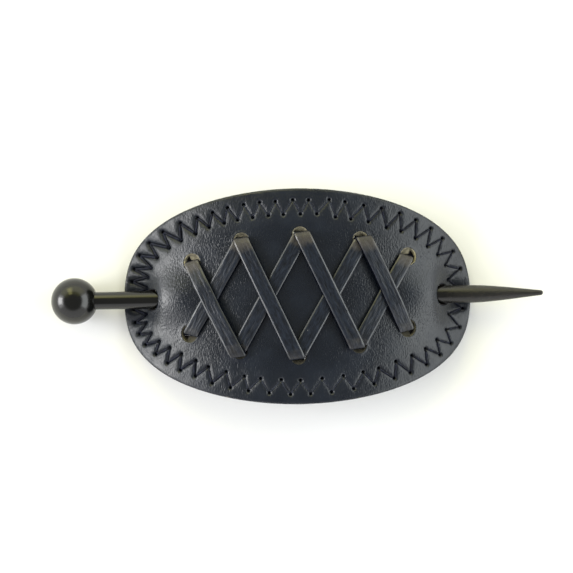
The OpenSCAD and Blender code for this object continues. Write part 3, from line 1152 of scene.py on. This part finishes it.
class Finish(Nodes):
    """A material and the nodes that work out its look."""

    def __init__(self, name, constants):
        self.material = bpy.data.materials.new(name)
        self.material.use_nodes = True
        super().__init__(self.material.node_tree)
        self.shader = self.tree.nodes["Principled BSDF"]
        self.feed(self.shader, constants)

    def stretched(self, x, y, z):
        """The place on the piece in millimetres, scaled along each axis."""
        place = self.node("ShaderNodeTexCoord", output="Object")
        scale = (x / MM, y / MM, z / MM)
        return self.node("ShaderNodeVectorMath", {"operation": "MULTIPLY"}, {0: place, 1: scale})

    def noise(self, place, scale, detail=2.0, roughness=0.5):
        return self.node("ShaderNodeTexNoise", {}, {
            "Vector": place, "Scale": scale, "Detail": detail, "Roughness": roughness})

    def cells(self, place, scale, swirl):
        """Distance from the seams of a net of cells, whose places the swirl shifts."""
        moved = self.node("ShaderNodeVectorMath", {"operation": "ADD"}, {0: place, 1: swirl})
        return self.node("ShaderNodeTexVoronoi", {"feature": "DISTANCE_TO_EDGE"}, {
            "Vector": moved, "Scale": scale})

    def blend(self, share, first, second):
        """A colour between two colours."""
        ends = [c if isinstance(c, Wire) else (*c, 1) for c in (first, second)]
        return self.node("ShaderNodeMix", {"data_type": "RGBA"}, {0: share, 6: ends[0], 7: ends[1]}, 2)

    def bump(self, height, depth_mm):
        inputs = {"Height": height, "Distance": depth_mm * MM, "Strength": 1.0}
        return self.node("ShaderNodeBump", {}, inputs)

    def attribute(self, name):
        return self.node("ShaderNodeAttribute", {"attribute_name": name}, {}, "Fac")

    def done(self, inputs, shade=None):
        """Feeds the shader. The share of it that lies in shade is matte and nearly black."""
        self.feed(self.shader, inputs)
        if shade is not None:
            matte = self.node("ShaderNodeBsdfPrincipled", {}, {
                "Base Color": (*SHADE_COLOUR, 1), "Roughness": 1.0, "Specular IOR Level": 0.0})
            glossy = Wire(self, self.shader.outputs[0])
            mixed = self.node("ShaderNodeMixShader", {}, {0: shade, 1: glossy, 2: matte})
            self.feed(self.tree.nodes["Material Output"], {"Surface": mixed})
        return self.material


def scaled(tint, factor):
    return tuple(c * factor for c in tint)


def face_leather(leather):
    """Dyed grain: fine pebbles drawn out across the bend, patches of handling, faint wrinkles."""
    f = Finish("navy_grain_leather", {"Specular IOR Level": 0.42})
    swirl = f.noise(f.stretched(1, 1, 1), 0.5, 1.0, 0.5) * 1.1
    pebbles = f.cells(f.stretched(1.3, 0.5, 1.0), 1.7, swirl)
    wrinkles = f.noise(f.stretched(2.6, 1.2, 1.0), 1.0, 0.0, 0.4)
    lumps = f.noise(f.stretched(1.3, 0.55, 1.0), 0.6, 2.0, 0.5)
    fine = f.noise(f.stretched(1.0, 0.55, 1.0), 3.0, 3.0, 0.6)
    patches = f.noise(f.stretched(1, 1, 1), 0.09, 3.0, 0.55)
    working = f.attribute("worked")
    height = f.step(pebbles, 0.0, 0.5) * 0.4 + wrinkles * 1.5 + fine * 0.3 + lumps * working * 5.0
    worn = f.step(patches, 0.4, 0.68)
    tint = f.blend(worn, scaled(leather.face_colour, 0.85), scaled(leather.face_colour, 1.2))
    return f.done({"Base Color": tint,
                   "Roughness": 0.24 + worn * 0.04 + fine * 0.06 + working * 0.2,
                   "Normal": f.bump(height, 0.05)}, f.attribute("shade"))


def edge_leather(leather):
    """The painted cut edge, with pale flecks of core where the paint has chipped."""
    f = Finish("painted_leather_edge", {"Specular IOR Level": 0.4})
    fibres = f.noise(f.stretched(1, 1, 2.5), 1.8, 4.0, 0.65)
    chips = f.step(f.noise(f.stretched(1, 1, 1), 0.8, 3.0, 0.6), 0.64, 0.7)
    tint = f.blend(chips, scaled(leather.face_colour, 1.1), leather.core_colour)
    return f.done({"Base Color": tint, "Roughness": 0.55 + fibres * 0.2, "Normal": f.bump(fibres, 0.12)})


def core_leather(leather, name, painted_brightness):
    """Raw cut leather: pale fibres in patches of darker dye, which also stand in for shade in the holes,
    darkened towards the lower holes by painted shade.
    """
    f = Finish(name, {"Roughness": 0.85, "Specular IOR Level": 0.3})
    fibres = f.noise(f.stretched(1.5, 1.5, 4.0), 1.5, 4.0, 0.6)
    stains_and_shade = f.step(f.noise(f.stretched(1, 1, 1), 0.45, 3.0, 0.6), 0.36, 0.6, 0.4, 1.0)
    # Painted shade: the walls darken across the oval from 9 mm on the upper side of the stick to 9 mm on the
    # lower side, so the lower holes are darkest.
    across = f.node("ShaderNodeSeparateXYZ", {}, {0: f.stretched(1, 1, 1)}, 1)
    upper = f.step(across, -9, 9, 0.15, 1.0)
    core = scaled(leather.core_colour, painted_brightness)
    pale = f.blend(fibres, scaled(core, 0.7), scaled(core, 1.4))
    tint = f.blend(stains_and_shade * upper, scaled(core, 0.08), pale)
    return f.done({"Base Color": tint, "Normal": f.bump(fibres, 0.12)})


def back_leather(leather):
    """The rough side: short nap and soft blotches."""
    f = Finish("suede_leather_back", {"Roughness": 0.92, "Specular IOR Level": 0.2})
    nap = f.noise(f.stretched(1, 1, 1), 3.5, 5.0, 0.7)
    blotches = f.noise(f.stretched(1, 1, 1), 0.25, 3.0, 0.5)
    mottled = nap * 0.6 + blotches * 0.4
    tint = f.blend(mottled, scaled(leather.back_colour, 0.5), scaled(leather.back_colour, 1.5))
    return f.done({"Base Color": tint, "Normal": f.bump(nap, 0.14)})


def thread_finish(stitching):
    """Matte navy thread with fine plies, lighter where it lies loose in the middle of the long sides and
    darker towards the ends by painted shade of its deep grooves.
    """
    f = Finish("navy_thread", {"Roughness": 0.7, "Specular IOR Level": 0.2})
    fibres = f.noise(f.stretched(2, 2, 2), 4.0, 3.0, 0.6)
    wear = f.step(f.noise(f.stretched(1, 1, 1), 0.8, 3.0, 0.6), 0.35, 0.65)
    mottled = wear * 0.7 + fibres * 0.3
    tight = f.blend(mottled, scaled(stitching.shaded_thread_colour, 0.35), scaled(stitching.shaded_thread_colour, 1.7))
    loose = f.blend(mottled, scaled(stitching.loose_thread_colour, 0.6), scaled(stitching.loose_thread_colour, 1.4))
    along = f.maths("ABSOLUTE", f.node("ShaderNodeSeparateXYZ", {}, {0: f.stretched(1, 1, 1)}))
    # Painted shade: the thread takes the darker colour towards the ends, where it lies deep in its grooves.
    tint = f.blend(f.step(along, *[reach / MM for reach in LOOSE_THREAD]), loose, tight)
    return f.done({"Base Color": tint, "Normal": f.bump(fibres, 0.03)})


def lace_leather(lace):
    """Smooth dyed lace, streaked along its length and rubbed to tan at its folds."""
    f = Finish("navy_lace_leather", {"Specular IOR Level": 0.3, "Coat Roughness": 0.25})
    along = f.attribute("along")
    aside = f.attribute("aside")
    strip = f.node("ShaderNodeCombineXYZ", {}, {0: along * 0.35, 1: aside * 1.6, 2: 0.0})
    streaks = f.noise(strip, 1.4, 4.0, 0.65)
    waves = f.noise(strip, 0.65, 2.0, 0.5)
    grain = f.noise(f.stretched(1, 1, 1), 2.6, 4.0, 0.6)
    clouds = f.noise(f.stretched(1, 1, 1), 0.35, 3.0, 0.6)
    scuffs = f.step(f.noise(f.stretched(1, 1, 1), 1.3, 2.0, 0.5), 0.77, 0.8)
    rub = f.step(f.attribute("rub") * (clouds * 1.5 + streaks * 0.8), 0.3, 1.2)
    dyed = f.blend(f.step(streaks * 0.6 + waves * 0.4, 0.33, 0.67), scaled(lace.lace_colour, 0.4),
                   scaled(lace.lace_colour, 2.0))
    tint = f.blend(rub * 0.9, dyed, lace.rubbed_colour)
    tint = f.blend(scuffs * 0.6, tint, (0.2, 0.2, 0.2))
    return f.done({"Base Color": tint, "Roughness": 0.27 + grain * 0.06 + streaks * 0.14 + rub * 0.1,
                   "Coat Weight": f.attribute("pared") * 0.9,
                   "Normal": f.bump(grain * 0.3 + streaks + waves * 6.0, 0.04)}, f.attribute("shade"))


def lacquer(stick):
    """Black lacquer over fine wood grain, rubbed dull and rough towards the point."""
    f = Finish("black_lacquered_wood", {"Specular IOR Level": 0.48})
    streaks = f.noise(f.stretched(0.12, 1.6, 1.6), 1.6, 4.0, 0.6)
    chips = f.noise(f.stretched(0.5, 1, 1), 1.6, 4.0, 0.7)
    place = f.node("ShaderNodeSeparateXYZ", {}, {0: f.stretched(1, 1, 1)})
    worn = f.step(place, POINT_X / MM - 38, POINT_X / MM - 24)
    tint = f.blend(worn * f.step(chips, 0.35, 0.7), stick.lacquer_colour, stick.worn_colour)
    return f.done({"Base Color": tint, "Roughness": 0.13 + worn * 0.2 + streaks * 0.05,
                   "Normal": f.bump(streaks * 0.4 + chips * worn * 2.4, 0.05)})


# Pieces


def settle(piece, body, slot, *replaced):
    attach(piece, body)
    if replaced:
        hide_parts(*replaced)


class BARRETTE_OT_leather(bpy.types.Operator):
    """Build the arched leather oval with its punched holes and puckered rim"""

    bl_idname = "barrette.leather"
    bl_label = "Leather oval"

    def execute(self, context):
        sizes = context.scene.barrette_leather
        oval = Leather(sizes, context.scene.barrette_stitching)
        # The second, brighter copy of the raw core is painted light, for the open walls at the oval's two
        # ends that face into the oval.
        finishes = [face_leather(sizes), edge_leather(sizes), core_leather(sizes, "raw_leather_core", 1.35),
                    back_leather(sizes), core_leather(sizes, "painted_lit_leather_core", 2.4)]
        settle(oval.build("oval_leather", finishes), "barrette", "oval_leather", "leather_oval")
        return {"FINISHED"}


class BARRETTE_OT_stitching(bpy.types.Operator):
    """Sew the zigzag thread round the rim"""

    bl_idname = "barrette.stitching"
    bl_label = "Stitching"

    def execute(self, context):
        stitching = context.scene.barrette_stitching
        oval = Leather(context.scene.barrette_leather, stitching)
        thread = build_thread(oval, stitching, "edge_stitching", thread_finish(stitching))
        settle(thread, "barrette", "oval_leather")
        return {"FINISHED"}


class BARRETTE_OT_lace(bpy.types.Operator):
    """Thread the flat lace through the punched holes"""

    bl_idname = "barrette.lace"
    bl_label = "Lace"

    def execute(self, context):
        lace = context.scene.barrette_lace
        lacing = Lacing(Face(context.scene.barrette_leather), lace)
        settle(lacing.build("crossed_lace", lace_leather(lace)), "barrette", "lace_leather", "lace")
        return {"FINISHED"}


class BARRETTE_OT_stick(bpy.types.Operator):
    """Turn the lacquered stick and its ball"""

    bl_idname = "barrette.stick"
    bl_label = "Stick and ball"

    def execute(self, context):
        stick = context.scene.barrette_stick
        finish = lacquer(stick)
        flat_x = math.sqrt(BALL_RADIUS ** 2 - stick.ball_flat ** 2)
        start = BALL_X + flat_x - stick.bore_depth
        nose = POINT_X - stick.tip_radius
        from_x = POINT_X - stick.taper
        shaft = [(start, 0), (start, STICK_RADIUS)]
        shaft += [(x, STICK_RADIUS) for x in np.linspace(start, from_x, 60)[1:-1]]
        for u in np.linspace(0, 1, 40):
            share = (1 - u ** TAPER_FULLNESS) ** TAPER_SHARPNESS
            radius = stick.tip_radius + (STICK_RADIUS - stick.tip_radius) * share
            shaft.append((from_x + (nose - from_x) * u, radius))
        for a in np.linspace(0, 0.25 * TURN, 8)[1:-1]:
            shaft.append((nose + stick.tip_radius * math.sin(a), stick.tip_radius * math.cos(a)))
        shaft.append((POINT_X, 0))
        settle(lathe("stick_shaft_lacquered", shaft, 72, finish), "stick", "lacquered_wood", "stick_shaft")
        bore = STICK_RADIUS + BORE_GAP
        bottom = start - BORE_GAP
        ball = [(BALL_X - BALL_RADIUS, 0)]
        end_angle = math.acos(flat_x / BALL_RADIUS)
        for a in np.linspace(0.5 * TURN, end_angle, 76)[1:]:
            ball.append((BALL_X + BALL_RADIUS * math.cos(a), BALL_RADIUS * math.sin(a)))
        flat = BALL_X + flat_x
        ball += [(flat + 0.03 * MM, stick.ball_flat - 0.15 * MM), (flat, bore + 0.25 * MM),
                 (flat - 0.2 * MM, bore), (bottom, bore), (bottom, 0)]
        settle(lathe("ball_knob_lacquered", ball, 96, finish), "stick", "lacquered_wood", "ball_knob")
        return {"FINISHED"}


# Soft panels in the pale surroundings, in degrees: azimuth from +X towards +Y, half width,
# lowest and highest elevation, softness of the edges, then brightness and colour.
PANELS = {
    "left": (178, 14, 10, 34, 4, 10.0, (1.0, 1.0, 0.99)),
    "left_wide": (180, 26, 10, 38, 6, 2.6, (1.0, 1.0, 1.0)),
    "right": (0, 33, 14, 44, 5, 3.1, (0.94, 1.0, 0.98)),
    "gold": (109, 11, 20, 54, 4, 2.9, (1.0, 0.94, 0.36)),
    "far": (95, 55, 8, 54, 12, 0.7, (1.0, 0.98, 0.2)),
}


class Surroundings(Nodes):
    """A white room that is dark overhead, with soft panels of light in it."""

    def __init__(self, name, stage):
        self.world = bpy.data.worlds.new(name)
        self.world.use_nodes = True
        super().__init__(self.world.node_tree)
        self.tree.nodes.clear()
        towards = self.node("ShaderNodeTexCoord", output="Generated")
        self.x, self.y, z = (self.node("ShaderNodeSeparateXYZ", {}, {0: towards}, i) for i in range(3))
        self.height = self.maths("ARCSINE", z)
        room = self.step(self.height, *ROOM_DARKENS, stage.room, stage.overhead)
        light = self.glow((1, 1, 1), room)
        for panel in PANELS.values():
            light = self.node("ShaderNodeAddShader", {}, {0: light, 1: self.panel(*panel)})
        self.node("ShaderNodeOutputWorld", {}, {"Surface": light}, None)

    def glow(self, tint, strength):
        return self.node("ShaderNodeBackground", {}, {"Color": (*tint, 1), "Strength": strength})

    def panel(self, azimuth, half_width, low, high, soft, strength, tint):
        a = math.radians(azimuth)
        ahead = self.x * math.cos(a) + self.y * math.sin(a)
        aside = self.y * math.cos(a) - self.x * math.sin(a)
        off = self.maths("ABSOLUTE", self.maths("ARCTAN2", aside, ahead))
        edge = math.radians(soft)
        within = self.step(off, math.radians(half_width) - edge, math.radians(half_width) + edge, 1.0, 0.0)
        above = self.step(self.height, math.radians(low) - edge, math.radians(low) + edge)
        below = self.step(self.height, math.radians(high) - edge, math.radians(high) + edge, 1.0, 0.0)
        return self.glow(tint, within * above * below * strength)


class BARRETTE_OT_stage(bpy.types.Operator):
    """Set up the pale floor, the soft lights and the camera"""

    bl_idname = "barrette.stage"
    bl_label = "Stage"

    def execute(self, context):
        stage = context.scene.barrette_stage
        scene = context.scene
        scene.view_settings.view_transform = "Standard"
        self.floor(stage)
        scene.world = Surroundings("pale_surroundings", stage).world
        self.camera(stage)
        return {"FINISHED"}

    def floor(self, stage):
        finish = Finish("plain_white_floor", {"Roughness": 0.9, "Specular IOR Level": 0.1})
        finish.done({"Base Color": (*stage.floor_colour, 1)})
        patches = Patchwork()
        reach = 2.0
        z = CAD_BOX[0].z
        corners = [(-reach, -reach, z), (reach, -reach, z), (reach, reach, z), (-reach, reach, z)]
        patches.fill([patches.add(corners)])
        patches.build("floor", [finish.material])

    def camera(self, stage):
        turn = Matrix.Rotation(-stage.picture_turn, 3, "Z")
        right = turn @ Vector((1, 0, 0))
        up = turn @ Vector((0, math.sin(stage.elevation), math.cos(stage.elevation)))
        back = turn @ Vector((0, -math.cos(stage.elevation), math.sin(stage.elevation)))
        aim = turn @ Vector((stage.aim_x, stage.aim_y, 0)) + Vector((0, 0, STICK_Z))
        lens = bpy.data.cameras.new("photo_camera")
        lens.lens = stage.lens
        lens.sensor_width = SENSOR_WIDTH
        camera = bpy.data.objects.new("photo_camera", lens)
        camera.matrix_world = (Matrix.Translation(aim + back * stage.distance)
                               @ Matrix((right, up, back)).transposed().to_4x4())
        bpy.context.scene.collection.objects.link(camera)
        bpy.context.scene.camera = camera


OPERATORS = (
    BARRETTE_OT_stage,
    BARRETTE_OT_leather,
    BARRETTE_OT_stitching,
    BARRETTE_OT_lace,
    BARRETTE_OT_stick,
)


class BARRETTE_PT_parts(bpy.types.Panel):
    """The barrette's parts and their sizes"""

    bl_idname = "BARRETTE_PT_parts"
    bl_label = "Leather barrette"
    bl_space_type = "VIEW_3D"
    bl_region_type = "UI"
    bl_category = "Barrette"

    def draw(self, context):
        layout = self.layout
        for operator in OPERATORS:
            layout.operator(operator.bl_idname)
        for name, group in GROUPS.items():
            box = layout.box()
            box.label(text=group.__doc__)
            for prop in group.__annotations__:
                box.prop(getattr(context.scene, name), prop)


def register():
    for group in GROUPS.values():
        bpy.utils.register_class(group)
    for name, group in GROUPS.items():
        setattr(bpy.types.Scene, name, PointerProperty(type=group))
    for operator in OPERATORS:
        bpy.utils.register_class(operator)
    bpy.utils.register_class(BARRETTE_PT_parts)


def unregister():
    bpy.utils.unregister_class(BARRETTE_PT_parts)
    for operator in OPERATORS:
        bpy.utils.unregister_class(operator)
    for name in GROUPS:
        delattr(bpy.types.Scene, name)
    for group in GROUPS.values():
        bpy.utils.unregister_class(group)


def main():
    register()
    bpy.ops.barrette.stage()
    bpy.ops.barrette.leather()
    bpy.ops.barrette.stitching()
    bpy.ops.barrette.lace()
    bpy.ops.barrette.stick()


if __name__ == "__main__":
    main()
